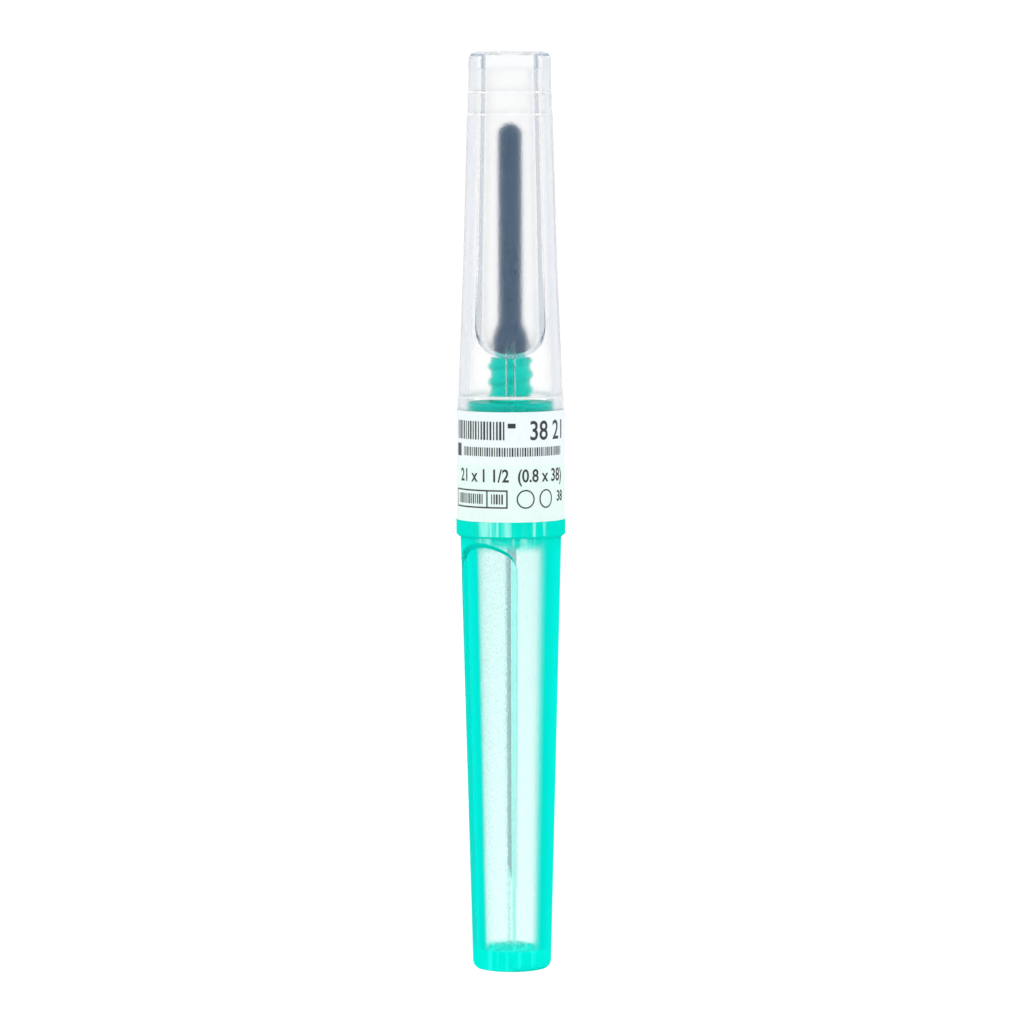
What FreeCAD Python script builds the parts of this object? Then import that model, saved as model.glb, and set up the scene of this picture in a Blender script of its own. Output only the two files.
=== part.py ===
import FreeCAD, Part
import math
import os

Vector = FreeCAD.Vector

# A double-ended blood collection needle in its sealed caps, in millimetres. It stands on the closed end
# of its needle shield: foot at Z = 0, axis on Z, front towards -Y.

# Cannula: a 21 gauge tube, ground to a point at both ends
cannula_radius = 0.41
cannula_bore_radius = 0.26
cannula_front_length = 38.1         # hub nose to front point
cannula_rear_length = 20.6          # hub shoulder to rear point
front_bevel_length = 2.6
rear_bevel_length = 1.8
lancet_length = 1.1                 # the two small side grinds at the front point
lancet_turn = 38.0                  # degrees that each side grind is turned

# Hub: finned front body, flange, thread for the tube holder, nipple for the sleeve
hub_front_length = 7.4              # nose to the flange's underside
hub_nose_radius = 1.5
hub_nose_length = 1.5
hub_core_radius = 2.3
hub_fin_count = 6
hub_fin_thickness = 0.7
hub_fin_slope = 1.3                 # height of the slanted lower end of a fin
hub_fin_turn = 15.0                 # degrees, so that the fins lie between the grip ribs
flange_thickness = 1.5
flange_chamfer = 0.2
thread_length = 4.2
thread_root_radius = 1.85
thread_height = 0.27
thread_pitch = 1.5
thread_base_width = 0.95
thread_crest_width = 0.4
thread_lead_chamfer = 0.35
nipple_length = 2.6
nipple_radius = 0.95
nipple_barb_radius = 1.12
nipple_barb_height = 1.0            # from the barb's widest point to the nipple's end
nipple_end_radius = 0.75
glue_well_radius = 0.95
glue_well_depth = 1.3
glue_dome_height = 0.5

# Rubber sleeve over the rear point
sleeve_length = 22.4                # hub shoulder to the closed tip
sleeve_radius = 1.13
sleeve_bore_radius = 0.56
sleeve_tip_wall = 0.95
sleeve_flare_radius = 1.66
sleeve_flare_length = 1.9           # full-width part over the nipple
sleeve_neck_length = 1.6            # where the flare runs down to the plain sleeve
sleeve_flare_round = 0.9
sleeve_foot_chamfer = 0.2

# Needle shield: closed foot, tapered body, collar for the label, neck for the hub
shield_end_wall = 1.6
tip_clearance = 6.0                 # inside floor to front point
shield_foot_radius = 3.74
shield_shoulder_radius = 4.83       # just under the collar
shield_foot_wall = 0.86
foot_round = 0.8
boss_radius = 1.4
boss_base_radius = 1.75
boss_height = 0.85
end_dimple_radius = 1.5             # the shallow round recess in both closed ends
end_dimple_depth = 0.3
collar_height = 7.0
collar_lip_height = 1.6
collar_lip_proud = 0.15             # lip beyond the label's seat
collar_chamfer = 0.2
neck_height = 4.3
neck_wall = 0.6
neck_chamfer = 0.2
grip_length = 11.9                  # ribbed bore, down from the neck's rim
grip_rib_count = 12
grip_rib_width = 0.5
grip_rib_height = 0.25
grip_rib_lead = 0.8                 # from the neck's rim to the ribs
cavity_relief = 0.08                # step from the ribs' crests in to the long cavity

# Rear cap: skirt over the neck, tapered body, two ring steps, closed end
skirt_wall = 0.67
cap_base_inset = 0.07               # from the label's seat in to the tapered body
cap_base_wall = 1.03
cap_waist_radius = 4.5
cap_waist_height = 12.4             # above the step inside the mouth
cap_end_radius = 3.93
cap_end_side_wall = 0.93
cap_end_wall = 1.6
cap_end_round = 0.7
sleeve_clearance = 5.2              # sleeve tip to the cap's closed end, inside
ring_step = 0.06
ring_draft = 0.02
upper_ring_drop = 3.8               # below the closed end
lower_ring_drop = 5.9
guide_rib_count = 2
guide_rib_thickness = 0.9
guide_rib_length = 6.0
guide_rib_slope = 2.6               # height of its slanted upper end
guide_rib_chamfer = 0.15            # along its two inner edges
crush_rib_width = 0.45

# Grip panels: two shallow recesses opposite each other on each cap, with slanted sides
panel_count = 2
panel_depth = 0.33
panel_floor_half_angle = 38.0       # degrees from the panel's middle to the edge of its floor
panel_rim_half_angle = 45.0         # and out to its rim
cap_panel_corner_round = 2.3
shield_panel_corner_round = 1.6
panel_end_draft = 1.0               # how far the rounded end leans, per millimetre of depth
cap_panel_base_height = 4.0         # above the step inside the mouth
shield_panel_top_drop = 0.8         # below the collar
cap_panel_angle = -90.0             # degrees about Z, so -90 faces the front
shield_panel_angle = -128.0

# Seal label, in two halves that meet at the tear line
label_thickness = 0.09
label_film = 0.02                   # glue under the paper
label_seat_radius = 5.07
label_rear_height = 5.1

# Drawing: the rounded ends of both caps are drawn as so many flats, which keeps their mesh light
end_flats = 3

# Clearances
neck_fit = 0.1                      # neck in the skirt
flange_fit = 0.2                    # flange in the skirt
fin_fit = 0.1                       # hub fins in the ribbed bore
crush_rib_fit = 0.02                # crush ribs on the neck
guide_rib_fit = 0.3                 # guide ribs round the thread
step_clearance = 0.6                # flange to the step inside the cap
glue_fit = 0.02                     # cannula in the hub, sleeve on the nipple
overlap = 0.2                       # how far a rib is sunk into the wall that carries it

# Heights that follow
front_point_z = shield_end_wall + tip_clearance
nose_z = front_point_z + cannula_front_length
rim_z = nose_z + hub_front_length
flange_top_z = rim_z + flange_thickness
shoulder_z = flange_top_z + thread_length
nipple_top_z = shoulder_z + nipple_length
rear_point_z = shoulder_z + cannula_rear_length
sleeve_top_z = shoulder_z + sleeve_length
cap_floor_z = sleeve_top_z + sleeve_clearance
cap_top_z = cap_floor_z + cap_end_wall
tear_z = rim_z - neck_height
collar_base_z = tear_z - collar_height
label_base_z = collar_base_z + collar_lip_height
label_top_z = tear_z + label_rear_height
grip_base_z = rim_z - grip_length
step_z = flange_top_z + step_clearance
upper_ring_z = cap_top_z - upper_ring_drop
lower_ring_z = cap_top_z - lower_ring_drop
cap_waist_z = step_z + cap_waist_height

# Radii that follow
collar_lip_radius = label_seat_radius + collar_lip_proud
cap_base_radius = label_seat_radius - cap_base_inset
skirt_bore_radius = label_seat_radius - skirt_wall
neck_radius = skirt_bore_radius - neck_fit
flange_radius = skirt_bore_radius - flange_fit
grip_radius = neck_radius - neck_wall
grip_crest_radius = grip_radius - grip_rib_height
cavity_top_radius = grip_crest_radius - cavity_relief
cavity_foot_radius = shield_foot_radius - shield_foot_wall
hub_fin_radius = grip_radius - fin_fit
thread_crest_radius = thread_root_radius + thread_height
guide_rib_radius = thread_crest_radius + guide_rib_fit
crush_rib_radius = neck_radius + crush_rib_fit
cap_cavity_base_radius = cap_base_radius - cap_base_wall
cap_cavity_end_radius = cap_end_radius - cap_end_side_wall
ring_radius = cap_end_radius + ring_draft
cap_shoulder_radius = ring_radius + ring_step + ring_draft + ring_step
sleeve_seat_radius = nipple_barb_radius + glue_fit
clear_radius = collar_lip_radius + 2.0      # outside everything, for cutting tools

origin = Vector(0, 0, 0)
up = Vector(0, 0, 1)


# A closed wire in the XZ plane. A corner is (radius, height) or (radius, height, rounding). A rounding is
# an arc, or that many flats along it.
def outline(corners, flats=0):
    points = [Vector(corner[0], 0, corner[1]) for corner in corners]
    starts, arcs, ends = [], [], []
    for index, corner in enumerate(corners):
        point = points[index]
        if len(corner) < 3:
            starts.append(point)
            ends.append(point)
            arcs.append([])
            continue
        back = (points[index - 1] - point).normalize()
        ahead = (points[(index + 1) % len(points)] - point).normalize()
        half = back.getAngle(ahead) / 2
        reach = corner[2] / math.tan(half)
        sagitta = corner[2] / math.sin(half) - corner[2]
        middle = point + (back + ahead).normalize() * sagitta
        starts.append(point + back * reach)
        ends.append(point + ahead * reach)
        arc = Part.Arc(starts[-1], middle, ends[-1])
        stops = arc.discretize(flats + 1) if flats else []
        steps = [Part.LineSegment(*pair).toShape() for pair in zip(stops, stops[1:])]
        arcs.append(steps or [arc.toShape()])
    edges = []
    for index in range(len(points)):
        edges.extend(arcs[index])
        following = starts[(index + 1) % len(points)]
        if ends[index].distanceToPoint(following) > 1e-6:
            edges.append(Part.LineSegment(ends[index], following).toShape())
    return Part.Wire(edges)


def spin(corners, angle=360.0, flats=0):
    return Part.Face(outline(corners, flats)).revolve(origin, up, angle)


# A flat plate that stands in the XZ plane, centred on it
def plate(corners, thickness):
    face = Part.Face(outline(corners))
    face.translate(Vector(0, -thickness / 2, 0))
    return face.extrude(Vector(0, thickness, 0))


def turned(shape, angle):
    copy = shape.copy()
    copy.rotate(origin, up, angle)
    return copy


# Copies of a shape, evenly spaced round the axis
def around(shape, count, first_angle=0.0):
    return [turned(shape, first_angle + 360.0 * index / count) for index in range(count)]


def radius_between(low, high, z):
    share = (z - low[1]) / (high[1] - low[1])
    return low[0] + (high[0] - low[0]) * share


# The tool that sinks one grip panel round the +X side. It is what lies outside the panel's floor, between
# two sides that slant from the floor's edges out to the rim, and past a rounded end that leans outwards.
# wall holds the outer wall's corners (radius, height) from the rounded end to the open one.
def panel_tool(wall, corner_round):
    floor_half, rim_half = math.radians(panel_floor_half_angle), math.radians(panel_rim_half_angle)
    floor = [(radius - panel_depth, z) for radius, z in wall]
    end_z, open_z = wall[0][1], wall[-1][1]
    opens_up = 1 if open_z > end_z else -1
    floor[0] = (floor[0][0], end_z - opens_up * clear_radius)
    sweep = 3 * panel_rim_half_angle
    outside = spin(floor + [(clear_radius, open_z), (clear_radius, floor[0][1])], sweep)
    outside = turned(outside, -sweep / 2)

    plans = []
    for radius, z in floor:
        edge = Vector(radius * math.cos(floor_half), radius * math.sin(floor_half), z)
        rim_radius = radius + panel_depth
        rim = Vector(rim_radius * math.cos(rim_half), rim_radius * math.sin(rim_half), z)
        side = edge + (rim - edge) * 3
        half = [edge, side, Vector(clear_radius, side.y, z)]
        points = half + [Vector(point.x, -point.y, z) for point in reversed(half)]
        plans.append(Part.makePolygon(points + points[:1]))
    plan = Part.makeLoft(plans, True, True)

    windows = []
    end_x = wall[0][0] - panel_depth
    for x in (end_x / 2, clear_radius):
        half_width = x * math.tan(rim_half)
        round_end = (end_z - opens_up * panel_end_draft * (x - end_x), corner_round * x / end_x)
        window = outline([(-half_width,) + round_end, (half_width,) + round_end,
                          (half_width, open_z), (-half_width, open_z)])
        window.rotate(origin, up, 90)
        window.translate(Vector(x, 0, 0))
        windows.append(window)
    return outside.common(plan).common(Part.makeLoft(windows, True, True))


def needle_shield():
    low, high = (shield_foot_radius, 0.0), (shield_shoulder_radius, collar_base_z)
    cavity_foot, cavity_top = (cavity_foot_radius, 0.0), (cavity_top_radius, grip_base_z)
    floor_radius = radius_between(cavity_foot, cavity_top, shield_end_wall)
    body = spin([
        (0.0, end_dimple_depth), (end_dimple_radius, end_dimple_depth), (end_dimple_radius, 0.0),
        (shield_foot_radius, 0.0, foot_round), high,
        (collar_lip_radius - collar_chamfer, collar_base_z),
        (collar_lip_radius, collar_base_z + collar_chamfer),
        (collar_lip_radius, label_base_z), (label_seat_radius, label_base_z), (label_seat_radius, tear_z),
        (neck_radius, tear_z), (neck_radius, rim_z - neck_chamfer), (neck_radius - neck_chamfer, rim_z),
        (grip_radius, rim_z), (grip_radius, grip_base_z), cavity_top,
        (floor_radius, shield_end_wall), (boss_base_radius, shield_end_wall),
        (boss_radius, shield_end_wall + boss_height),
        (0.0, shield_end_wall + boss_height)], flats=end_flats)
    rib = plate([(grip_crest_radius, grip_base_z - overlap), (grip_radius + overlap, grip_base_z - overlap),
                 (grip_radius + overlap, rim_z - grip_rib_lead - grip_rib_height),
                 (grip_radius, rim_z - grip_rib_lead),
                 (grip_crest_radius, rim_z - grip_rib_lead - grip_rib_height)], grip_rib_width)
    body = body.fuse(around(rib, grip_rib_count))
    panel_top_z = collar_base_z - shield_panel_top_drop
    wall = [(radius_between(low, high, z), z) for z in (panel_top_z, -end_dimple_depth)]
    panel = panel_tool(wall, shield_panel_corner_round)
    return body.cut(around(panel, panel_count, shield_panel_angle)).removeSplitter()


def rear_cap():
    waist = (cap_waist_radius, cap_waist_z)
    body = spin([
        (skirt_bore_radius, tear_z), (label_seat_radius, tear_z), (label_seat_radius, step_z),
        (cap_base_radius, step_z), waist, (cap_shoulder_radius, lower_ring_z),
        (cap_shoulder_radius - ring_step, lower_ring_z), (ring_radius + ring_step, upper_ring_z),
        (ring_radius, upper_ring_z), (cap_end_radius, cap_top_z, cap_end_round),
        (end_dimple_radius, cap_top_z), (end_dimple_radius, cap_top_z - end_dimple_depth),
        (0.0, cap_top_z - end_dimple_depth), (0.0, cap_floor_z),
        (cap_cavity_end_radius, cap_floor_z), (cap_cavity_base_radius, step_z),
        (skirt_bore_radius, step_z)], flats=end_flats)
    root_radius = cap_cavity_base_radius + overlap
    rib_top_z = step_z + guide_rib_length
    guide_rib = plate([(guide_rib_radius, step_z), (root_radius, step_z), (root_radius, rib_top_z),
                       (guide_rib_radius, rib_top_z - guide_rib_slope)], guide_rib_thickness)
    crest_x = guide_rib_radius + guide_rib_chamfer
    crest_edges = [edge for edge in guide_rib.Edges if edge.BoundBox.XMax < crest_x]
    upright_edges = [edge for edge in crest_edges if edge.BoundBox.YLength < guide_rib_chamfer]
    guide_rib = guide_rib.makeChamfer(guide_rib_chamfer, upright_edges)
    crush_root_radius = skirt_bore_radius + overlap
    crush_rib = plate([(crush_rib_radius, tear_z + flange_thickness), (crush_root_radius, tear_z + overlap),
                       (crush_root_radius, step_z + overlap), (crush_rib_radius, step_z + overlap)],
                      crush_rib_width)
    for rib in (guide_rib, crush_rib):
        body = body.fuse(around(rib, guide_rib_count, cap_panel_angle))
    base, end = (cap_base_radius, step_z), (cap_end_radius, cap_top_z)
    base_z, above_z = step_z + cap_panel_base_height, cap_top_z + end_dimple_depth
    wall = [(radius_between(base, waist, base_z), base_z), waist,
            (radius_between(waist, end, above_z), above_z)]
    panel = panel_tool(wall, cap_panel_corner_round)
    return body.cut(around(panel, panel_count, cap_panel_angle)).removeSplitter()


# The thread's ridge: a trapezium swept along a helix, cut off square below and chamfered above
def thread_ridge():
    sunk_radius = thread_root_radius - overlap / 2
    helix = Part.makeHelix(thread_pitch, thread_length + thread_pitch, sunk_radius)
    section = Part.makePolygon([Vector(sunk_radius, 0, -thread_base_width / 2),
                                Vector(thread_crest_radius, 0, -thread_crest_width / 2),
                                Vector(thread_crest_radius, 0, thread_crest_width / 2),
                                Vector(sunk_radius, 0, thread_base_width / 2),
                                Vector(sunk_radius, 0, -thread_base_width / 2)])
    ridge = Part.Wire(helix.Edges).makePipeShell([section], True, True)
    ridge.translate(Vector(0, 0, flange_top_z - thread_pitch / 4))
    envelope = spin([(0.0, flange_top_z - overlap), (clear_radius, flange_top_z - overlap),
                     (clear_radius, shoulder_z - thread_lead_chamfer - clear_radius + thread_crest_radius),
                     (thread_root_radius, shoulder_z), (0.0, shoulder_z)])
    return ridge.common(envelope)


def hub():
    bore_radius = cannula_radius + glue_fit
    core_top_z = nose_z + hub_nose_length
    barb_z = nipple_top_z - nipple_barb_height
    body = spin([
        (bore_radius, nose_z + glue_well_depth), (glue_well_radius, nose_z + glue_well_depth),
        (glue_well_radius, nose_z), (hub_nose_radius, nose_z), (hub_nose_radius, core_top_z),
        (hub_core_radius, rim_z), (flange_radius, rim_z),
        (flange_radius, flange_top_z - flange_chamfer), (flange_radius - flange_chamfer, flange_top_z),
        (thread_root_radius, flange_top_z), (thread_root_radius, shoulder_z), (nipple_radius, shoulder_z),
        (nipple_radius, barb_z), (nipple_barb_radius, barb_z),
        (nipple_end_radius, nipple_top_z), (bore_radius, nipple_top_z)])
    fin = plate([(glue_well_radius + overlap, core_top_z), (hub_nose_radius, core_top_z),
                 (hub_fin_radius, core_top_z + hub_fin_slope), (hub_fin_radius, rim_z + overlap),
                 (glue_well_radius + overlap, rim_z + overlap)], hub_fin_thickness)
    pieces = around(fin, hub_fin_count, hub_fin_turn) + [thread_ridge()]
    return body.fuse(pieces).removeSplitter()


# The wedge that grinds a slanted face onto a tube end at height z; side is 1 for a point aimed down,
# -1 for one aimed up. The point stays on the +X side.
def bevel_tool(z, length, side):
    point = Vector(cannula_radius, 0, z)
    slope = Vector(-2 * cannula_radius, 0, side * length)
    corners = [point - slope, point + slope * 2, Vector(-clear_radius, 0, z + side * 2 * length),
               Vector(-clear_radius, 0, z - side * length)]
    face = Part.Face(Part.makePolygon(corners + corners[:1]))
    face.translate(Vector(0, -clear_radius, 0))
    return face.extrude(Vector(0, 2 * clear_radius, 0))


def cannula():
    length = rear_point_z - front_point_z
    tube = Part.makeCylinder(cannula_radius, length, Vector(0, 0, front_point_z))
    tube = tube.cut(Part.makeCylinder(cannula_bore_radius, length, Vector(0, 0, front_point_z)))
    tools = [bevel_tool(front_point_z, front_bevel_length, 1),
             bevel_tool(rear_point_z, rear_bevel_length, -1)]
    for turn in (-lancet_turn, lancet_turn):
        grind = bevel_tool(front_point_z, lancet_length, 1)
        grind.rotate(Vector(cannula_radius, 0, 0), up, turn)
        tools.append(grind)
    return tube.cut(tools)


def rubber_sleeve():
    flare_z = shoulder_z + sleeve_flare_length
    neck_z = flare_z + sleeve_neck_length
    return spin([
        (sleeve_seat_radius, shoulder_z), (sleeve_flare_radius - sleeve_foot_chamfer, shoulder_z),
        (sleeve_flare_radius, shoulder_z + sleeve_foot_chamfer),
        (sleeve_flare_radius, flare_z, sleeve_flare_round), (sleeve_radius, neck_z, sleeve_flare_round),
        (sleeve_radius, sleeve_top_z, sleeve_radius), (0.0, sleeve_top_z),
        (0.0, sleeve_top_z - sleeve_tip_wall), (sleeve_bore_radius, sleeve_top_z - sleeve_tip_wall),
        (sleeve_bore_radius, neck_z), (sleeve_seat_radius, nipple_top_z)])


def hub_adhesive():
    inner = cannula_radius + glue_fit
    outer = glue_well_radius - glue_fit
    top_z = nose_z + glue_well_depth - glue_fit
    return spin([(inner, nose_z - glue_dome_height), (outer, nose_z), (outer, top_z), (inner, top_z)])


def label_band(low_z, high_z):
    inner = label_seat_radius + label_film
    outer = inner + label_thickness
    return spin([(inner, low_z), (outer, low_z), (outer, high_z), (inner, high_z)])


parts = {
    "needle_shield": needle_shield(),
    "rear_cap": rear_cap(),
    "hub": hub(),
    "cannula": cannula(),
    "rubber_sleeve": rubber_sleeve(),
    "hub_adhesive": hub_adhesive(),
    "label_front_half": label_band(label_base_z, tear_z),
    "label_rear_half": label_band(tear_z, label_top_z),
}

os.makedirs("parts", exist_ok=True)
for name, shape in parts.items():
    shape.exportStep("parts/" + name + ".step")
    box = shape.optimalBoundingBox()
    print(name, shape.ShapeType, len(shape.Solids), shape.isValid(), round(shape.Volume, 3),
          "z", round(box.ZMin, 3), round(box.ZMax, 3), "r", round(box.XMax, 3))
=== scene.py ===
import bpy
import bmesh
import math
from mathutils import Matrix, Vector


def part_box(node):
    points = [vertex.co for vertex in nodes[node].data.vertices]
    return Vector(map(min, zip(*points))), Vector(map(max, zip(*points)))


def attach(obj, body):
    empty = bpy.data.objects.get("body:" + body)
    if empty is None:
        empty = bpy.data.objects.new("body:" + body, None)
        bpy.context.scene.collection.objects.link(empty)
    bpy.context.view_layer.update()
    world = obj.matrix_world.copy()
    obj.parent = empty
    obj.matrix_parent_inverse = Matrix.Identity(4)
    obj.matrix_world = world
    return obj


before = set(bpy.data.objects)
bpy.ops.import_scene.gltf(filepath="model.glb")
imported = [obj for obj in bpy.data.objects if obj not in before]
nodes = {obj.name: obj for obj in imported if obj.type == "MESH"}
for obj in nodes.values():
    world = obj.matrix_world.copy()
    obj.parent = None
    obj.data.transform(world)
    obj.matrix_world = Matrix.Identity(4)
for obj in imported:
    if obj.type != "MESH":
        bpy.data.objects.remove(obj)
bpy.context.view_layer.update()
mm = 0.001
print("frame loaded:", ", ".join(sorted(nodes)))


# sRGB hex to the linear colour that a socket takes
def hexColor(text):
    values = [int(text[i:i + 2], 16) / 255 for i in (1, 3, 5)]
    return [v / 12.92 if v <= 0.04045 else ((v + 0.055) / 1.055) ** 2.4 for v in values] + [1.0]


# Adds a node with its settings; an input is a plain value, another node (its first output) or an output
def addNode(tree, kind, settings=None, inputs=None):
    node = tree.nodes.new("ShaderNode" + kind)
    for name, value in (settings or {}).items():
        setattr(node, name, value)
    for socket, value in (inputs or {}).items():
        if isinstance(value, bpy.types.Node):
            value = value.outputs[0]
        if isinstance(value, bpy.types.NodeSocket):
            tree.links.new(value, node.inputs[socket])
        else:
            node.inputs[socket].default_value = value
    return node


def newMaterial(name):
    material = bpy.data.materials.new(name)
    material.use_nodes = True
    material.node_tree.nodes.clear()
    return material, material.node_tree


def dress(nodeName, material):
    for slot in nodes[nodeName].material_slots:
        slot.material = material


# What the two caps share, with lengths in mm
moulding = {
    "wallReach": 0.7,                # a face this close under the outer line belongs to the outside
    "floorReach": 0.03,              # a face this close to a panel's floor line belongs to the floor
    "rimReach": 0.09,                # a panel's slanted rim starts this far under the outer line
    "ior": 1.4,                      # matched, a little under polypropylene's 1.49
    "gloss": "#707070",              # tint of the reflections, which are faint on such plastic
    "grainMm": 0.25,                 # the panels' fine grain, drawn coarse enough to show
    "grainDepthMm": 0.02,
    "grainDetail": 1.0,
    "speckMm": 0.14,
    "speckDetail": 2.0,
    "speckRange": (0.35, 0.7),
    "streakSquash": 0.04,            # a streak's width as a share of its length
    "streakRange": (0.48, 0.62),
    "turnedAside": (0.3, 0.65),      # where the edge tint gives way to the outer tint
}

# Natural polypropylene, injection moulded: clear, grey-blue where seen edge on, frosted on the grip panels.
# Edge and panelEdge give how far a face turns aside where its edge colour starts and where it is full.
# A line runs through points (radius, height) in mm. A zone is (bottom, top, how softly it ends, tint, tint
# of its streaks of painted light, how much of it colours the light that passes, how much of it is filled
# with colour).
clearCap = {
    "smooth": 0.06, "bore": 0.28, "panelHaze": 0.3, "edgeHaze": 0.25,
    "edgeTint": "#dbe3ec", "outerTint": "#eef1f6", "edge": (0.3, 0.46), "panelEdge": (0.3, 0.5),
    "solid": 0.45, "milkTint": "#e8f0f6", "milk": 0.0, "panelMilk": (0.0, 0.11),
    # The rim keys paint shade: a grey-blue line on the slanted rims round the grip panel
    "rimShadeTint": "#90a6ba", "rimShadeShare": 1.0, "rimShadeTilt": (-1.0, 0.0),
    "absorb": "#e4eef4", "density": 12.0, "streakMm": 0.7,
    "wallLine": [(5.0, 55.2), (4.5, 67.6), (3.93, 88.0)],
    "floorLine": [(4.51, 52.0), (4.17, 67.6), (3.6, 88.0)],
    "panel": {"angle": -90, "halfAngle": 40, "bottom": 58.8, "top": 88.0},
    "zones": [
        # Painted lines: a matt white band on each step stands in for the light and shade on its edge
        (81.9, 82.3, 0.15, "#ffffff", "#ffffff", 0.0, 0.7),     # lower ring step
        (84.0, 84.4, 0.15, "#ffffff", "#ffffff", 0.0, 0.7),     # upper ring step
        (55.0, 55.4, 0.15, "#ffffff", "#ffffff", 0.0, 0.6),     # step inside the mouth
    ],
    # The rib's two sides get a painted highlight: a pale matt strip stands in for the light they catch
    "rib": {"across": 0.39, "reach": 0.11, "under": 1.05, "top": 61.3, "share": 0.15},    # its two sides
}

# Mint-dyed polypropylene, injection moulded: see-through where thin, deep mint along edges and where solid
mintShield = {
    "smooth": 0.08, "bore": 0.16, "panelHaze": 0.2, "edgeHaze": 0.6,
    "edgeTint": "#00e4d4", "outerTint": "#00f2e2", "edge": (0.1, 0.33), "panelEdge": (0.25, 0.38),
    "solid": 0.92, "milkTint": "#48f4e8", "milk": 0.14, "panelMilk": (0.06, 0.24),
    # The rim keys paint shade: a matt line on the slanted rims, darker teal where they tilt
    "rimShadeTint": "#00ccb8", "rimShadeShare": 0.6, "rimShadeTilt": (0.05, 0.3),
    "absorb": "#3ff7f3", "density": 60.0, "streakMm": 0.8,
    "wallLine": [(3.74, 0.0), (4.83, 41.8)],
    "floorLine": [(3.4, -0.3), (4.479, 48.2)],
    "panel": {"angle": -128, "halfAngle": 40, "bottom": -1.0, "top": 41.2},
    # The streak tints are painted light: pale streaks along the wall where light would shine through
    "zones": [
        (-2.0, 2.3, 0.4, "#00f4e0", "#20fff0", 1.0, 0.95),      # solid foot
        (40.1, 49.0, 1.7, "#00e8d2", "#98fff2", 0.6, 0.85),     # collar
        (48.0, 54.0, 0.5, "#10ecd8", "#70f8ec", 0.7, 0.4),      # neck
    ],
    "rib": None,
}


# How deep a point lies under a surface that is turned from a line of two or three points
def depthUnder(tree, line, pick, radius, height):
    surface = None
    for low, high in zip(line, line[1:]):
        straight = addNode(tree, "MapRange", {"clamp": False},
                           {"Value": height, "From Min": low[1] * mm, "From Max": high[1] * mm,
                            "To Min": low[0] * mm, "To Max": high[0] * mm})
        if surface is None:
            surface = straight
        else:
            surface = addNode(tree, "Math", {"operation": pick}, {0: surface, 1: straight})
    return addNode(tree, "Math", {"operation": "SUBTRACT"}, {0: surface, 1: radius})


# Which face of the moulding a point is on: the outside, a grip panel's floor or the slanted rim round it
def wallFaces(tree, look):
    coordinates = addNode(tree, "TexCoord")
    place = coordinates.outputs["Object"]
    flat = addNode(tree, "VectorMath", {"operation": "MULTIPLY"}, {0: place, 1: (1, 1, 0)})
    radius = addNode(tree, "VectorMath", {"operation": "LENGTH"}, {0: flat}).outputs["Value"]
    height = addNode(tree, "SeparateXYZ", {}, {0: place}).outputs[2]

    # Where it bends, the outer line is hollow and the floor line bulges, so they pick unlike parts
    underWall = depthUnder(tree, look["wallLine"], "MAXIMUM", radius, height)
    underFloor = depthUnder(tree, look["floorLine"], "MINIMUM", radius, height)
    outside = addNode(tree, "Math", {"operation": "LESS_THAN"},
                      {0: underWall, 1: moulding["wallReach"] * mm})

    panel = look["panel"]
    turned = addNode(tree, "Mapping", {},
                     {"Vector": place, "Rotation": (0, 0, -math.radians(panel["angle"]))})
    across = addNode(tree, "SeparateXYZ", {}, {0: turned}).outputs[1]
    sideways = addNode(tree, "Math", {"operation": "DIVIDE"}, {0: across, 1: radius})
    inAngle = addNode(tree, "Math", {"operation": "COMPARE"},
                      {0: sideways, 1: 0.0, 2: math.sin(math.radians(panel["halfAngle"]))})
    inDepth = addNode(tree, "Math", {"operation": "COMPARE"},
                      {0: underFloor, 1: 0.0, 2: moulding["floorReach"] * mm})
    middle, half = (panel["top"] + panel["bottom"]) / 2 * mm, (panel["top"] - panel["bottom"]) / 2 * mm
    inHeight = addNode(tree, "Math", {"operation": "COMPARE"}, {0: height, 1: middle, 2: half})
    inPanel = addNode(tree, "Math", {"operation": "MULTIPLY"}, {0: inAngle, 1: inDepth})
    floor = addNode(tree, "Math", {"operation": "MULTIPLY"}, {0: inPanel, 1: inHeight})

    overFloor = addNode(tree, "Math", {"operation": "LESS_THAN"},
                        {0: underFloor, 1: -moulding["floorReach"] * mm})
    sunk = addNode(tree, "Math", {"operation": "GREATER_THAN"}, {0: underWall, 1: moulding["rimReach"] * mm})
    rim = addNode(tree, "Math", {"operation": "MULTIPLY"}, {0: overFloor, 1: sunk})
    return {"place": place, "normal": coordinates.outputs["Normal"], "height": height, "depth": underWall,
            "across": across, "outside": outside, "floor": floor, "rim": rim}


# Roughness: the bore is a little matt, the outside smooth, the panels finely grained
def wallFinish(tree, look, wall):
    base = addNode(tree, "Mix", {}, {0: wall["outside"], 2: look["bore"], 3: look["smooth"]})
    rough = addNode(tree, "Mix", {}, {0: wall["floor"], 2: base, 3: look["panelHaze"]})
    wall["rough"] = addNode(tree, "Mix", {}, {0: wall["edge"], 2: rough, 3: look["edgeHaze"]})
    grain = addNode(tree, "TexNoise", {},
                    {"Vector": wall["place"], "Scale": 1 / (moulding["grainMm"] * mm),
                     "Detail": moulding["grainDetail"]})
    onFloor = addNode(tree, "Math", {"operation": "MULTIPLY"}, {0: grain, 1: wall["floor"]})
    wall["bump"] = addNode(tree, "Bump", {},
                           {"Height": onFloor, "Distance": moulding["grainDepthMm"] * mm, "Strength": 1.0})


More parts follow.
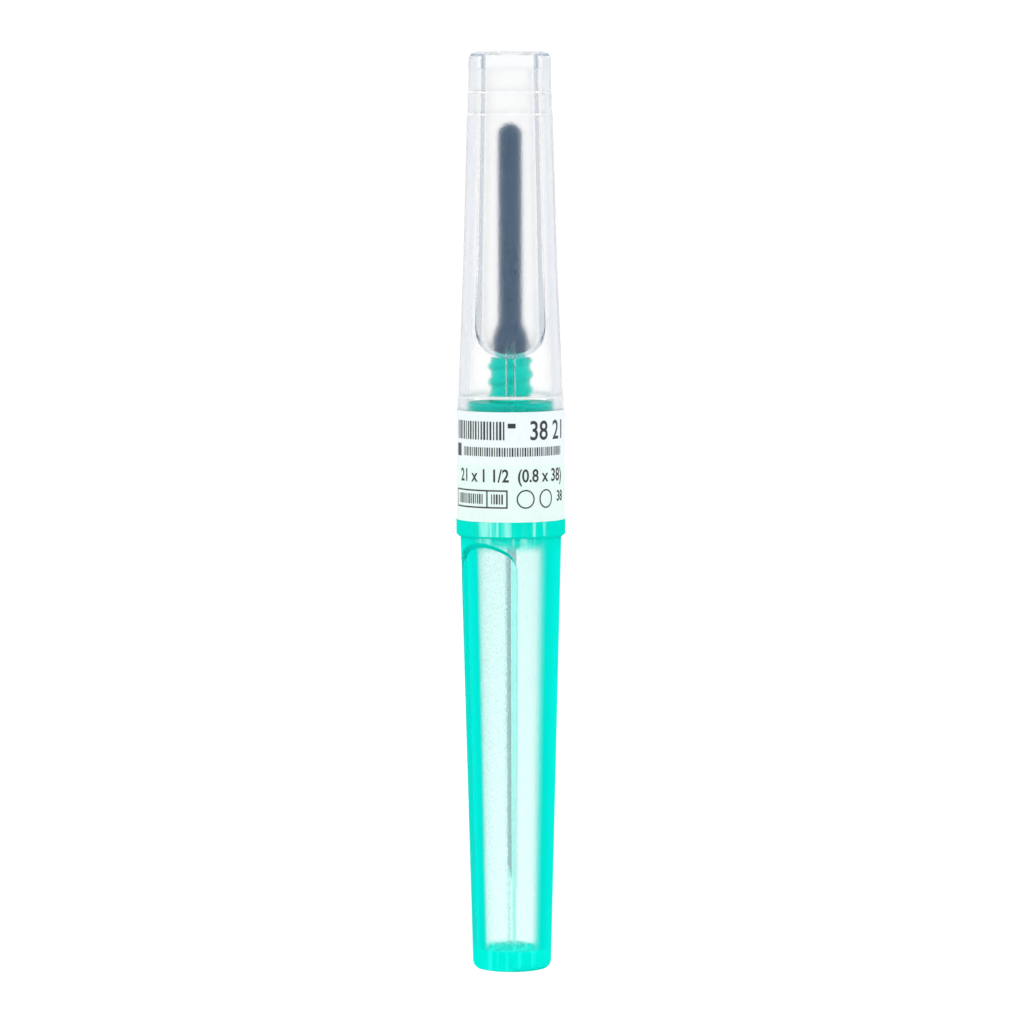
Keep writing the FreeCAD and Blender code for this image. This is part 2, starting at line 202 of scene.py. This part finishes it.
# Colour gathers where the wall is seen edge on, but light that has been scattered inside passes freely
def edgeColor(tree, look, wall):
    facing = addNode(tree, "LayerWeight", {}, {"Blend": 0.5}).outputs["Facing"]
    low = addNode(tree, "Mix", {}, {0: wall["floor"], 2: look["edge"][0], 3: look["panelEdge"][0]})
    high = addNode(tree, "Mix", {}, {0: wall["floor"], 2: look["edge"][1], 3: look["panelEdge"][1]})
    wall["edge"] = addNode(tree, "MapRange", {"interpolation_type": "SMOOTHSTEP"},
                           {"Value": facing, "From Min": low, "From Max": high})
    bounces = addNode(tree, "LightPath").outputs["Diffuse Depth"]
    wall["direct"] = addNode(tree, "Math", {"operation": "LESS_THAN"}, {0: bounces, 1: 0.5})
    wall["shown"] = addNode(tree, "Math", {"operation": "MULTIPLY"}, {0: wall["outside"], 1: wall["direct"]})
    wall["share"] = addNode(tree, "Math", {"operation": "MULTIPLY"}, {0: wall["edge"], 1: wall["shown"]})
    aside = addNode(tree, "MapRange", {}, {"Value": facing, "From Min": moulding["turnedAside"][0],
                                           "From Max": moulding["turnedAside"][1]})
    edgeTint = addNode(tree, "Mix", {"data_type": "RGBA"},
                       {0: aside, 6: hexColor(look["edgeTint"]), 7: hexColor(look["outerTint"])}).outputs[2]
    wall["scatter"] = addNode(tree, "Mix", {"data_type": "RGBA"},
                              {0: wall["share"], 6: hexColor(look["milkTint"]), 7: edgeTint}).outputs[2]
    wall["through"] = addNode(tree, "Mix", {"data_type": "RGBA"},
                              {0: wall["share"], 6: (1, 1, 1, 1), 7: edgeTint}).outputs[2]


# The veil is the share that scatters light: a milky wall, a speckled panel floor, the edges and painted
# shade on the rims
def milkyVeil(tree, look, wall):
    speck = addNode(tree, "TexNoise", {},
                    {"Vector": wall["place"], "Scale": 1 / (moulding["speckMm"] * mm),
                     "Detail": moulding["speckDetail"]})
    panelMilk = addNode(tree, "MapRange", {},
                        {"Value": speck, "From Min": moulding["speckRange"][0],
                         "From Max": moulding["speckRange"][1],
                         "To Min": look["panelMilk"][0], "To Max": look["panelMilk"][1]})
    wallMilk = addNode(tree, "Math", {"operation": "MULTIPLY"}, {0: wall["shown"], 1: look["milk"]})
    milk = addNode(tree, "Mix", {}, {0: wall["floor"], 2: wallMilk, 3: panelMilk})
    rimShadeShare = addNode(tree, "Math", {"operation": "MULTIPLY"}, {0: wall["rim"], 1: look["rimShadeShare"]})
    gathered = addNode(tree, "Math", {"operation": "MAXIMUM"}, {0: wall["share"], 1: rimShadeShare})
    filled = addNode(tree, "Math", {"operation": "MULTIPLY"}, {0: gathered, 1: look["solid"]})
    wall["veil"] = addNode(tree, "Math", {"operation": "MAXIMUM"}, {0: filled, 1: milk})

    # A rim gets painted shade, a tint of its own, where it tilts up or down; a tilt range of (-1, 0) tints
    # all of it
    upright = addNode(tree, "SeparateXYZ", {}, {0: wall["normal"]}).outputs[2]
    tilt = addNode(tree, "Math", {"operation": "ABSOLUTE"}, {0: upright})
    slope = addNode(tree, "MapRange", {},
                    {"Value": tilt, "From Min": look["rimShadeTilt"][0], "From Max": look["rimShadeTilt"][1]})
    shadedRim = addNode(tree, "Math", {"operation": "MULTIPLY"}, {0: wall["rim"], 1: slope})
    wall["scatter"] = addNode(tree, "Mix", {"data_type": "RGBA"},
                              {0: shadedRim, 6: wall["scatter"], 7: hexColor(look["rimShadeTint"])}).outputs[2]


# Colour also gathers in zones of the height; pale streaks along the wall in them are painted light, and a
# white zone on a step paints a matt line of light and shade
def zoneColorAndPaintedLight(tree, look, wall):
    squash = addNode(tree, "Mapping", {},
                     {"Vector": wall["place"], "Scale": (1, 1, moulding["streakSquash"])})
    streak = addNode(tree, "TexNoise", {}, {"Vector": squash, "Scale": 1 / (look["streakMm"] * mm)})
    paintedLightStreaks = addNode(tree, "MapRange", {"interpolation_type": "SMOOTHSTEP"},
                      {"Value": streak, "From Min": moulding["streakRange"][0],
                       "From Max": moulding["streakRange"][1]})
    for bottom, top, soft, tint, lightStreakTint, passing, filling in look["zones"]:
        middle, half = (bottom + top) / 2, (top - bottom) / 2
        offset = addNode(tree, "Math", {"operation": "SUBTRACT"}, {0: wall["height"], 1: middle * mm})
        away = addNode(tree, "Math", {"operation": "ABSOLUTE"}, {0: offset})
        within = addNode(tree, "MapRange", {"interpolation_type": "SMOOTHSTEP"},
                         {"Value": away, "From Min": (half - soft) * mm, "From Max": half * mm,
                          "To Min": 1.0, "To Max": 0.0})
        inside = addNode(tree, "Math", {"operation": "MULTIPLY"}, {0: within, 1: wall["direct"]})
        inWall = addNode(tree, "Math", {"operation": "SUBTRACT", "use_clamp": True},
                         {0: paintedLightStreaks, 1: wall["share"]})
        color = addNode(tree, "Mix", {"data_type": "RGBA"},
                        {0: inWall, 6: hexColor(tint), 7: hexColor(lightStreakTint)}).outputs[2]
        passed = addNode(tree, "Math", {"operation": "MULTIPLY"}, {0: inside, 1: passing})
        wall["through"] = addNode(tree, "Mix", {"data_type": "RGBA"},
                                  {0: passed, 6: wall["through"], 7: color}).outputs[2]
        wall["scatter"] = addNode(tree, "Mix", {"data_type": "RGBA"},
                                  {0: inside, 6: wall["scatter"], 7: color}).outputs[2]
        filled = addNode(tree, "Math", {"operation": "MULTIPLY"}, {0: inside, 1: filling})
        wall["veil"] = addNode(tree, "Math", {"operation": "MAXIMUM"}, {0: wall["veil"], 1: filled})


# A guide rib in the bore gets a painted highlight along its sides: a pale matt strip for the light it
# catches
def paintedRibHighlight(tree, rib, wall):
    aside = addNode(tree, "Math", {"operation": "ABSOLUTE"}, {0: wall["across"]})
    onSides = addNode(tree, "Math", {"operation": "COMPARE"},
                      {0: aside, 1: rib["across"] * mm, 2: rib["reach"] * mm})
    proud = addNode(tree, "Math", {"operation": "GREATER_THAN"}, {0: wall["depth"], 1: rib["under"] * mm})
    lowDown = addNode(tree, "Math", {"operation": "LESS_THAN"}, {0: wall["height"], 1: rib["top"] * mm})
    sides = addNode(tree, "Math", {"operation": "MULTIPLY"}, {0: onSides, 1: proud})
    lit = addNode(tree, "Math", {"operation": "MULTIPLY"}, {0: sides, 1: lowDown})
    filled = addNode(tree, "Math", {"operation": "MULTIPLY"}, {0: lit, 1: rib["share"]})
    wall["veil"] = addNode(tree, "Math", {"operation": "MAXIMUM"}, {0: wall["veil"], 1: filled})


# The veil scatters light as a matt surface does, and the rest lets it through
def seeThroughPlastic(name, look):
    material, tree = newMaterial(name)
    wall = wallFaces(tree, look)
    edgeColor(tree, look, wall)
    wallFinish(tree, look, wall)
    milkyVeil(tree, look, wall)
    zoneColorAndPaintedLight(tree, look, wall)
    if look["rib"]:
        paintedRibHighlight(tree, look["rib"], wall)
    matt = addNode(tree, "BsdfDiffuse", {}, {"Color": wall["scatter"], "Normal": wall["bump"]})
    clear = addNode(tree, "BsdfPrincipled", {},
                    {"Base Color": wall["through"], "Roughness": wall["rough"], "IOR": moulding["ior"],
                     "Transmission Weight": 1.0, "Specular Tint": hexColor(moulding["gloss"]),
                     "Normal": wall["bump"]})
    both = addNode(tree, "MixShader", {}, {0: wall["veil"], 1: clear, 2: matt})
    volume = addNode(tree, "VolumeAbsorption", {},
                     {"Color": hexColor(look["absorb"]), "Density": look["density"]})
    addNode(tree, "OutputMaterial", {}, {"Surface": both, "Volume": volume})
    return material


dress("rear_cap", seeThroughPlastic("clearPolypropylene", clearCap))
dress("needle_shield", seeThroughPlastic("mintPolypropylene", mintShield))
print("caps dressed")

# Teal polypropylene of the hub: solid colour with a soft moulded gloss
hubLook = {"color": "#00dccb", "deep": "#00cfbe", "mottleMm": 1.5, "roughness": 0.4, "ior": 1.49,
           "specular": 0.1, "grainMm": 0.06, "grainDepthMm": 0.002, "grainStrength": 0.6}


def tealPolypropylene(look):
    material, tree = newMaterial("tealPolypropylene")
    place = addNode(tree, "TexCoord").outputs["Object"]
    mottle = addNode(tree, "TexNoise", {}, {"Vector": place, "Scale": 1 / (look["mottleMm"] * mm)})
    color = addNode(tree, "Mix", {"data_type": "RGBA"},
                    {0: mottle, 6: hexColor(look["color"]), 7: hexColor(look["deep"])}).outputs[2]
    grain = addNode(tree, "TexNoise", {}, {"Vector": place, "Scale": 1 / (look["grainMm"] * mm)})
    bump = addNode(tree, "Bump", {}, {"Height": grain, "Distance": look["grainDepthMm"] * mm,
                                      "Strength": look["grainStrength"]})
    shader = addNode(tree, "BsdfPrincipled", {},
                     {"Base Color": color, "Roughness": look["roughness"], "IOR": look["ior"],
                      "Specular IOR Level": look["specular"], "Normal": bump})
    addNode(tree, "OutputMaterial", {}, {"Surface": shader})
    return material


# Drawn stainless tube: bright grey with fine lines along its length
steelLook = {"color": "#b0b7ba", "roughness": (0.14, 0.34), "lineMm": 0.03, "lineSquash": 0.02,
             "lineDepthMm": 0.001, "lineStrength": 0.5}


def drawnStainless(look):
    material, tree = newMaterial("drawnStainlessSteel")
    place = addNode(tree, "TexCoord").outputs["Object"]
    squash = addNode(tree, "Mapping", {}, {"Vector": place, "Scale": (1, 1, look["lineSquash"])})
    lines = addNode(tree, "TexNoise", {}, {"Vector": squash, "Scale": 1 / (look["lineMm"] * mm)})
    rough = addNode(tree, "MapRange", {},
                    {"Value": lines, "To Min": look["roughness"][0], "To Max": look["roughness"][1]})
    bump = addNode(tree, "Bump", {}, {"Height": lines, "Distance": look["lineDepthMm"] * mm,
                                      "Strength": look["lineStrength"]})
    shader = addNode(tree, "BsdfPrincipled", {},
                     {"Base Color": hexColor(look["color"]), "Metallic": 1.0, "Roughness": rough,
                      "Normal": bump})
    addNode(tree, "OutputMaterial", {}, {"Surface": shader})
    return material


# Slate grey isoprene rubber, dipped: matt, with a light powdery speckle
rubberLook = {"color": "#22405c", "pale": "#3a5c7a", "speckMm": 0.25, "speckRange": (0.35, 0.75),
              "speckDetail": 3.0, "speckRoughness": 0.7, "speckDepthMm": 0.01, "speckStrength": 0.6,
              "roughness": 0.8, "ior": 1.52, "specular": 0.2}


def slateRubber(look):
    material, tree = newMaterial("slateIsopreneRubber")
    place = addNode(tree, "TexCoord").outputs["Object"]
    speck = addNode(tree, "TexNoise", {},
                    {"Vector": place, "Scale": 1 / (look["speckMm"] * mm), "Detail": look["speckDetail"],
                     "Roughness": look["speckRoughness"]})
    share = addNode(tree, "MapRange", {},
                    {"Value": speck, "From Min": look["speckRange"][0], "From Max": look["speckRange"][1]})
    color = addNode(tree, "Mix", {"data_type": "RGBA"},
                    {0: share, 6: hexColor(look["color"]), 7: hexColor(look["pale"])}).outputs[2]
    bump = addNode(tree, "Bump", {}, {"Height": speck, "Distance": look["speckDepthMm"] * mm,
                                      "Strength": look["speckStrength"]})
    shader = addNode(tree, "BsdfPrincipled", {},
                     {"Base Color": color, "Roughness": look["roughness"], "IOR": look["ior"],
                      "Specular IOR Level": look["specular"], "Normal": bump})
    addNode(tree, "OutputMaterial", {}, {"Surface": shader})
    return material


# Cured adhesive in the hub's nose: clear, a little amber, glossy where it has crept
adhesiveLook = {"color": "#f3efdd", "roughness": 0.12, "ior": 1.5, "transmission": 0.7,
                "creepMm": 0.5, "creepDepthMm": 0.02, "creepStrength": 0.5}


def curedAdhesive(look):
    material, tree = newMaterial("curedAdhesive")
    place = addNode(tree, "TexCoord").outputs["Object"]
    creep = addNode(tree, "TexNoise", {}, {"Vector": place, "Scale": 1 / (look["creepMm"] * mm)})
    bump = addNode(tree, "Bump", {}, {"Height": creep, "Distance": look["creepDepthMm"] * mm,
                                      "Strength": look["creepStrength"]})
    shader = addNode(tree, "BsdfPrincipled", {},
                     {"Base Color": hexColor(look["color"]), "Roughness": look["roughness"],
                      "IOR": look["ior"], "Transmission Weight": look["transmission"], "Normal": bump})
    addNode(tree, "OutputMaterial", {}, {"Surface": shader})
    return material


# Coated label paper: nearly white and smooth, with faint fibres. The half on the mint collar takes its tint.
paperLook = {"rear": "#f0fafc", "front": "#e9fcf7", "roughness": 0.55, "specular": 0.3,
             "shade": (0.93, 1.03), "fibreMm": 0.25, "fibreSquash": 0.35, "fibreDetail": 4.0,
             "fibreDepthMm": 0.004, "fibreStrength": 0.5}


def labelPaper(name, look, color):
    material, tree = newMaterial(name)
    place = addNode(tree, "TexCoord").outputs["Object"]
    squash = addNode(tree, "Mapping", {}, {"Vector": place, "Scale": (1, 1, look["fibreSquash"])})
    fibre = addNode(tree, "TexNoise", {}, {"Vector": squash, "Scale": 1 / (look["fibreMm"] * mm),
                                           "Detail": look["fibreDetail"]})
    shade = addNode(tree, "MapRange", {},
                    {"Value": fibre, "To Min": look["shade"][0], "To Max": look["shade"][1]})
    tone = addNode(tree, "Mix", {"data_type": "RGBA", "blend_type": "MULTIPLY"},
                   {0: 1.0, 6: hexColor(color), 7: shade}).outputs[2]
    bump = addNode(tree, "Bump", {}, {"Height": fibre, "Distance": look["fibreDepthMm"] * mm,
                                      "Strength": look["fibreStrength"]})
    shader = addNode(tree, "BsdfPrincipled", {},
                     {"Base Color": tone, "Roughness": look["roughness"],
                      "Specular IOR Level": look["specular"], "Normal": bump})
    addNode(tree, "OutputMaterial", {}, {"Surface": shader})
    return material


dress("hub", tealPolypropylene(hubLook))
dress("cannula", drawnStainless(steelLook))
dress("rubber_sleeve", slateRubber(rubberLook))
dress("hub_adhesive", curedAdhesive(adhesiveLook))
dress("label_rear_half", labelPaper("coatedPaperRear", paperLook, paperLook["rear"]))
dress("label_front_half", labelPaper("coatedPaperFront", paperLook, paperLook["front"]))
print("hub, needle, sleeve and label dressed")

# Label print: plain marks only, in black ink. Lengths are in mm.
printLook = {
    "ink": "#14171b", "paleInk": "#2a2e34", "roughness": 0.45, "mottleMm": 0.15, "mottleDetail": 3.0,
    "thickness": 0.012, "lift": 0.001,     # the ink's own, and its gap to the paper
    "bend": 0.3, "weld": 0.0005, "onCut": 0.00001,
    "narrow": 0.82, "bolder": 0.025,
    "figureHeight": 0.7,                   # a figure's height as a share of the font's size
    "barThin": 0.34, "barMore": 0.3, "ringSides": 40,
}
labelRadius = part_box("label_rear_half")[1].x

# A mark is its kind, its place along the paper from the front middle, its height above the foot, and then
# for bars: width, height, count; for a bar: width, height; for a frame: width, height, line;
# for a ring: half width, half height, line; for a number: height, text
rearMarks = [
    ("bars", -3.6, 52.12, 6.2, 1.75, 19), ("bar", 0.1, 52.6, 0.75, 0.45),
    ("number", 4.2, 51.25, 1.8, "38 21"),
    ("bar", -6.3, 50.2, 0.9, 1.2), ("bars", 0.3, 50.1, 11.4, 0.85, 46),
    ("bars", 16.2, 51.4, 9.0, 2.6, 30),
]
frontMarks = [
    ("number", 0.1, 47.25, 1.2, "21 x 1 1/2  (0.8 x 38)"),
    ("frame", -3.6, 45.6, 6.6, 1.75, 0.14), ("bar", -2.35, 45.6, 0.14, 1.5),
    ("bars", -4.55, 45.6, 3.6, 0.95, 14), ("bars", -1.35, 45.6, 1.3, 0.95, 5),
    ("ring", 1.45, 45.6, 0.9, 0.9, 0.13), ("ring", 3.65, 45.6, 0.78, 0.9, 0.13),
    ("number", 5.75, 45.3, 1.0, "38"),
    ("frame", 16.2, 46.0, 9.0, 3.2, 0.14), ("ring", 14.0, 46.0, 0.9, 0.9, 0.13),
    ("ring", 18.4, 46.0, 0.9, 0.9, 0.13),
]


def printedInk(look):
    material, tree = newMaterial("printedInk")
    place = addNode(tree, "TexCoord").outputs["Object"]
    mottle = addNode(tree, "TexNoise", {}, {"Vector": place, "Scale": 1 / (look["mottleMm"] * mm),
                                            "Detail": look["mottleDetail"]})
    color = addNode(tree, "Mix", {"data_type": "RGBA"},
                    {0: mottle, 6: hexColor(look["ink"]), 7: hexColor(look["paleInk"])}).outputs[2]
    shader = addNode(tree, "BsdfPrincipled", {}, {"Base Color": color, "Roughness": look["roughness"]})
    addNode(tree, "OutputMaterial", {}, {"Surface": shader})
    return material


# One flat mark, drawn in mm round its own middle. A frame or ring is a filled shape with its inside cut out.
def flatMark(shape, kind, look, width, height, line=None):
    start = set(shape.verts)
    if kind == "ring":
        bmesh.ops.create_circle(shape, cap_ends=True, segments=look["ringSides"], radius=1.0)
    else:
        bmesh.ops.create_grid(shape, x_segments=1, y_segments=1, size=0.5)
    made = [v for v in shape.verts if v not in start]
    bmesh.ops.scale(shape, vec=(width, height, 1), verts=made)
    if line:
        face = made[0].link_faces[0]
        bmesh.ops.inset_region(shape, faces=[face], thickness=line, use_boundary=True, use_even_offset=True)
        bmesh.ops.delete(shape, geom=[face], context="FACES_ONLY")
        made = [v for v in shape.verts if v not in start]
    return made


# Bars of unlike widths in one row, as plain ruled filling
def barRow(shape, look, middle, height, width, tall, count):
    step = width / count
    for i in range(count):
        share = look["barThin"] + look["barMore"] * (i * 7 % 5) / 4    # five widths in turn, out of order
        made = flatMark(shape, "bar", look, step * share, tall)
        bmesh.ops.translate(shape, vec=(middle - width / 2 + (i + 0.5) * step, height, 0), verts=made)


def numberMark(shape, look, middle, height, tall, text):
    start = set(shape.verts)
    curve = bpy.data.curves.new("numberDraft", "FONT")
    curve.body = text
    curve.align_x = "CENTER"
    curve.size = tall / look["figureHeight"]
    curve.offset = look["bolder"]
    draft = bpy.data.objects.new("numberDraft", curve)
    mesh = bpy.data.meshes.new_from_object(draft)
    shape.from_mesh(mesh)
    made = [v for v in shape.verts if v not in start]
    bmesh.ops.scale(shape, vec=(look["narrow"], 1, 1), verts=made)
    bmesh.ops.translate(shape, vec=(middle, height, 0), verts=made)
    bpy.data.objects.remove(draft)
    bpy.data.meshes.remove(mesh)


def labelPrint(name, marks, body, look):
    shape = bmesh.new()
    for kind, middle, height, *size in marks:
        if kind == "bars":
            barRow(shape, look, middle, height, *size)
        elif kind == "number":
            numberMark(shape, look, middle, height, *size)
        else:
            made = flatMark(shape, kind, look, *size)
            bmesh.ops.translate(shape, vec=(middle, height, 0), verts=made)
    bmesh.ops.remove_doubles(shape, verts=shape.verts, dist=look["weld"])

    # Cut across at even steps, so that it bends smoothly, then thickened and rolled round the label
    places = [v.co.x / look["bend"] for v in shape.verts]
    for i in range(math.ceil(min(places)), math.floor(max(places)) + 1):
        everything = shape.verts[:] + shape.edges[:] + shape.faces[:]
        bmesh.ops.bisect_plane(shape, geom=everything, dist=look["onCut"], plane_co=(i * look["bend"], 0, 0),
                               plane_no=(1, 0, 0))
    lifted = bmesh.ops.extrude_face_region(shape, geom=shape.faces[:])["geom"]
    bmesh.ops.translate(shape, vec=(0, 0, look["thickness"]),
                        verts=[v for v in lifted if isinstance(v, bmesh.types.BMVert)])
    bmesh.ops.triangulate(shape, faces=shape.faces[:])
    bmesh.ops.recalc_face_normals(shape, faces=shape.faces[:])
    for v in shape.verts:
        radius = labelRadius + (look["lift"] + v.co.z) * mm
        turn = v.co.x * mm / labelRadius
        v.co = (radius * math.sin(turn), -radius * math.cos(turn), v.co.y * mm)

    mesh = bpy.data.meshes.new(name)
    shape.to_mesh(mesh)
    shape.free()
    piece = bpy.data.objects.new(name, mesh)
    bpy.context.scene.collection.objects.link(piece)
    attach(piece, body)
    return piece


ink = printedInk(printLook)
labelPrint("labelPrintRear", rearMarks, "rear_cap", printLook).data.materials.append(ink)
labelPrint("labelPrintFront", frontMarks, "needle_shield", printLook).data.materials.append(ink)
print("label printed")

# Stage: pale floor and soft light. Lengths are in metres.
stageLook = {
    "floorSize": 30.0, "floorColor": "#f2f2f2",
    "shownFloor": 0.85, "shownShade": 0.35,    # the floor as seen: its glow, and the grey that takes shadow
    "worldLight": 0.55, "overhead": 0.78, "overheadFrom": (0.3, 0.7),
    "lampPlaces": {"leftLamp": (-0.6, -0.35, 0.5), "rightLamp": (0.6, -0.35, 0.5)},
    "lampSize": (0.4, 0.6), "lampPower": 3.0, "lampAim": (0, 0, 0.045),
}


# 1 for a ray that shows the surroundings: from the camera, a mirror or a see-through piece
def seenRay(tree):
    path = addNode(tree, "LightPath")
    thrown = addNode(tree, "Math", {"operation": "MAXIMUM"},
                     {0: path.outputs["Is Glossy Ray"], 1: path.outputs["Is Transmission Ray"]})
    return addNode(tree, "Math", {"operation": "MAXIMUM"}, {0: path.outputs["Is Camera Ray"], 1: thrown})


def paleFloor(look):
    shape = bmesh.new()
    bmesh.ops.create_grid(shape, x_segments=1, y_segments=1, size=look["floorSize"] / 2)
    mesh = bpy.data.meshes.new("paleFloor")
    shape.to_mesh(mesh)
    shape.free()
    floor = bpy.data.objects.new("paleFloor", mesh)
    bpy.context.scene.collection.objects.link(floor)
    material, tree = newMaterial("paleSweep")
    matt = addNode(tree, "BsdfDiffuse", {}, {"Color": hexColor(look["floorColor"])})
    dim = addNode(tree, "BsdfDiffuse", {}, {"Color": [look["shownShade"]] * 3 + [1]})
    glow = addNode(tree, "Emission", {}, {"Strength": look["shownFloor"]})
    shown = addNode(tree, "AddShader", {}, {0: dim, 1: glow})
    both = addNode(tree, "MixShader", {}, {0: seenRay(tree), 1: matt, 2: shown})
    addNode(tree, "OutputMaterial", {}, {"Surface": both})
    mesh.materials.append(material)


# White near the horizon, a little grey overhead, which draws the caps' steps and rims
def softWorld(look):
    world = bpy.data.worlds.new("softWorld")
    world.use_nodes = True
    tree = world.node_tree
    tree.nodes.clear()
    sky = addNode(tree, "SeparateXYZ", {}, {0: addNode(tree, "TexCoord").outputs["Generated"]}).outputs[2]
    low, high = look["overheadFrom"]
    shown = addNode(tree, "MapRange", {"interpolation_type": "SMOOTHSTEP"},
                    {"Value": sky, "From Min": low, "From Max": high,
                     "To Min": 1.0, "To Max": look["overhead"]})
    strength = addNode(tree, "Mix", {}, {0: seenRay(tree), 2: look["worldLight"], 3: shown})
    light = addNode(tree, "Background", {}, {"Color": (1, 1, 1, 1), "Strength": strength})
    addNode(tree, "OutputWorld", {}, {"Surface": light})
    bpy.context.scene.world = world


def softLamp(name, place, look):
    data = bpy.data.lights.new(name, "AREA")
    data.shape = "RECTANGLE"
    data.size, data.size_y = look["lampSize"]
    data.energy = look["lampPower"]
    lamp = bpy.data.objects.new(name, data)
    lamp.location = place
    lamp.rotation_mode = "QUATERNION"
    lamp.rotation_quaternion = (Vector(place) - Vector(look["lampAim"])).to_track_quat("Z", "Y")
    bpy.context.scene.collection.objects.link(lamp)


paleFloor(stageLook)
softWorld(stageLook)
for name, place in stageLook["lampPlaces"].items():
    softLamp(name, place, stageLook)
print("stage lit")

# Camera: the photograph's distance, height and slight roll, worked out from the ring steps and label edges
shot = {"distance": 0.700, "height": 0.100, "aimZ": 0.0440, "side": 0.00011, "roll": -0.15,
        "lens": 257.8, "sensor": 36.0, "clip": (0.05, 100.0)}


def placeCamera(look):
    data = bpy.data.cameras.new("photoCamera")
    data.lens = look["lens"]
    data.sensor_width = look["sensor"]
    data.clip_start, data.clip_end = look["clip"]
    camera = bpy.data.objects.new("photoCamera", data)
    bpy.context.scene.collection.objects.link(camera)
    place = Vector((look["side"], -look["distance"], look["height"]))
    aim = Vector((look["side"], 0, look["aimZ"]))
    level = (place - aim).to_track_quat("Z", "Y").to_matrix()
    rolled = level @ Matrix.Rotation(math.radians(look["roll"]), 3, "Z")
    camera.matrix_world = Matrix.Translation(place) @ rolled.to_4x4()
    bpy.context.scene.camera = camera


placeCamera(shot)
bpy.context.scene.view_settings.view_transform = "Standard"
